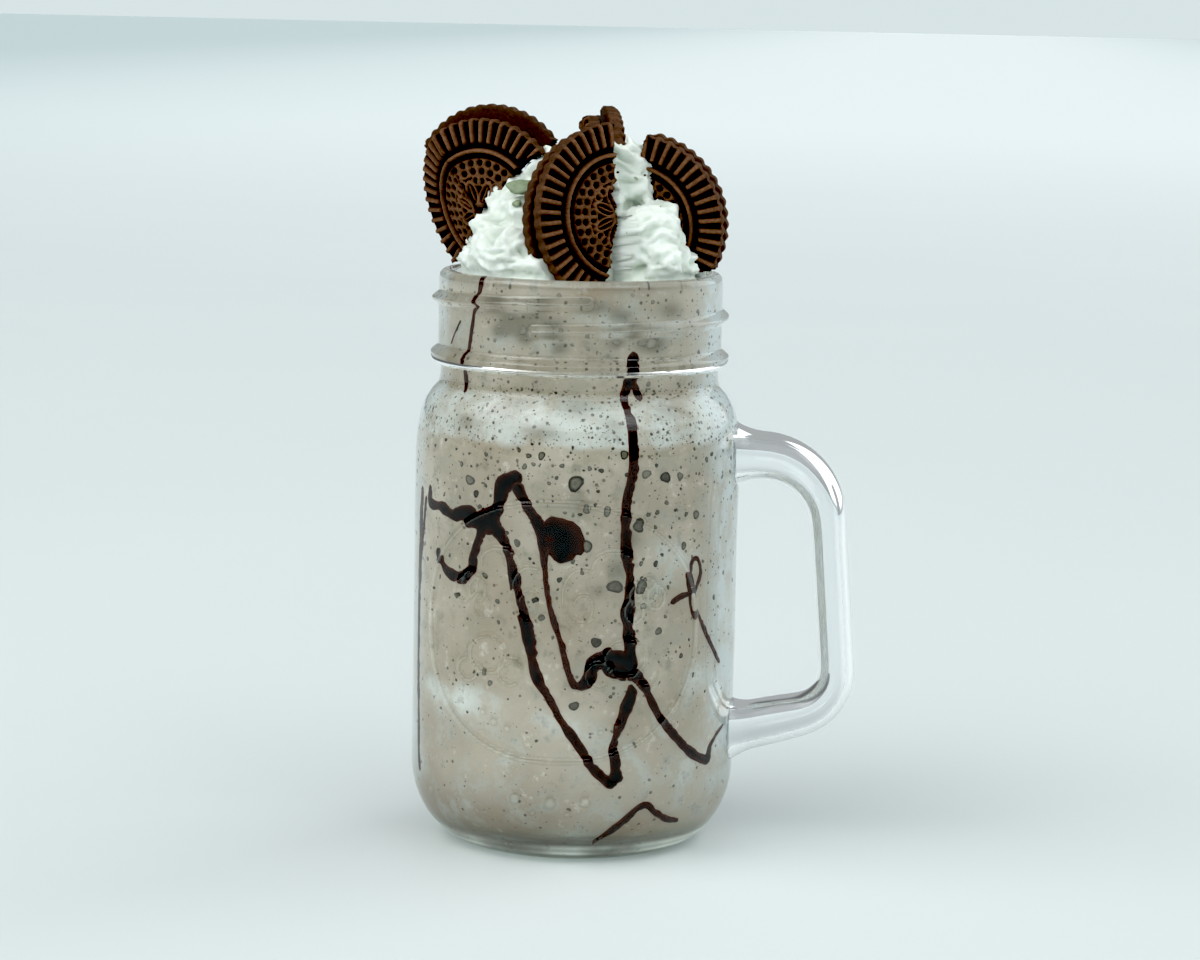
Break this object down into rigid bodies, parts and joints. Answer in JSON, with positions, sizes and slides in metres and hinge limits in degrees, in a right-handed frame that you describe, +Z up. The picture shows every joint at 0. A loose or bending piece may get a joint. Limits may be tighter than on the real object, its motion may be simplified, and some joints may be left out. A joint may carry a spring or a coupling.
{
  "type": "milkshake in a jar mug",
  "caption": "Cookie milkshake in a glass jar mug with a side handle, topped with whipped cream and broken chocolate sandwich cookies.",
  "frame": {"origin": "on the jar's axis, in the middle of the flat foot that it stands on", "axes": "+Z up along the jar's axis, +X towards the handle, -Y is the front, where the raised oval is"},
  "size_m": [0.1079, 0.0784, 0.1759],
  "materials": {
    "clear_glass": "clear, fire-polished",
    "milkshake": "wet, slightly frothy",
    "whipped_cream": "soft, satin",
    "chocolate_wafer": "baked, fine-grained",
    "cookie_filling": "matt"
  },
  "bodies": {
    "root": {"jar": "clear_glass", "milkshake": "milkshake", "whipped_cream": "whipped_cream", "cookie_left_front_upper": "chocolate_wafer", "cookie_left_front_lower": "chocolate_wafer", "cookie_left_back": "chocolate_wafer", "cookie_left_filling": "cookie_filling", "cookie_middle_front": "chocolate_wafer", "cookie_middle_filling": "cookie_filling", "cookie_middle_back": "chocolate_wafer", "cookie_right_front": "chocolate_wafer", "cookie_right_filling": "cookie_filling", "cookie_right_back": "chocolate_wafer", "cookie_rear_front": "chocolate_wafer", "cookie_rear_filling": "cookie_filling", "cookie_rear_back": "chocolate_wafer"}
  },
  "joints": []
}
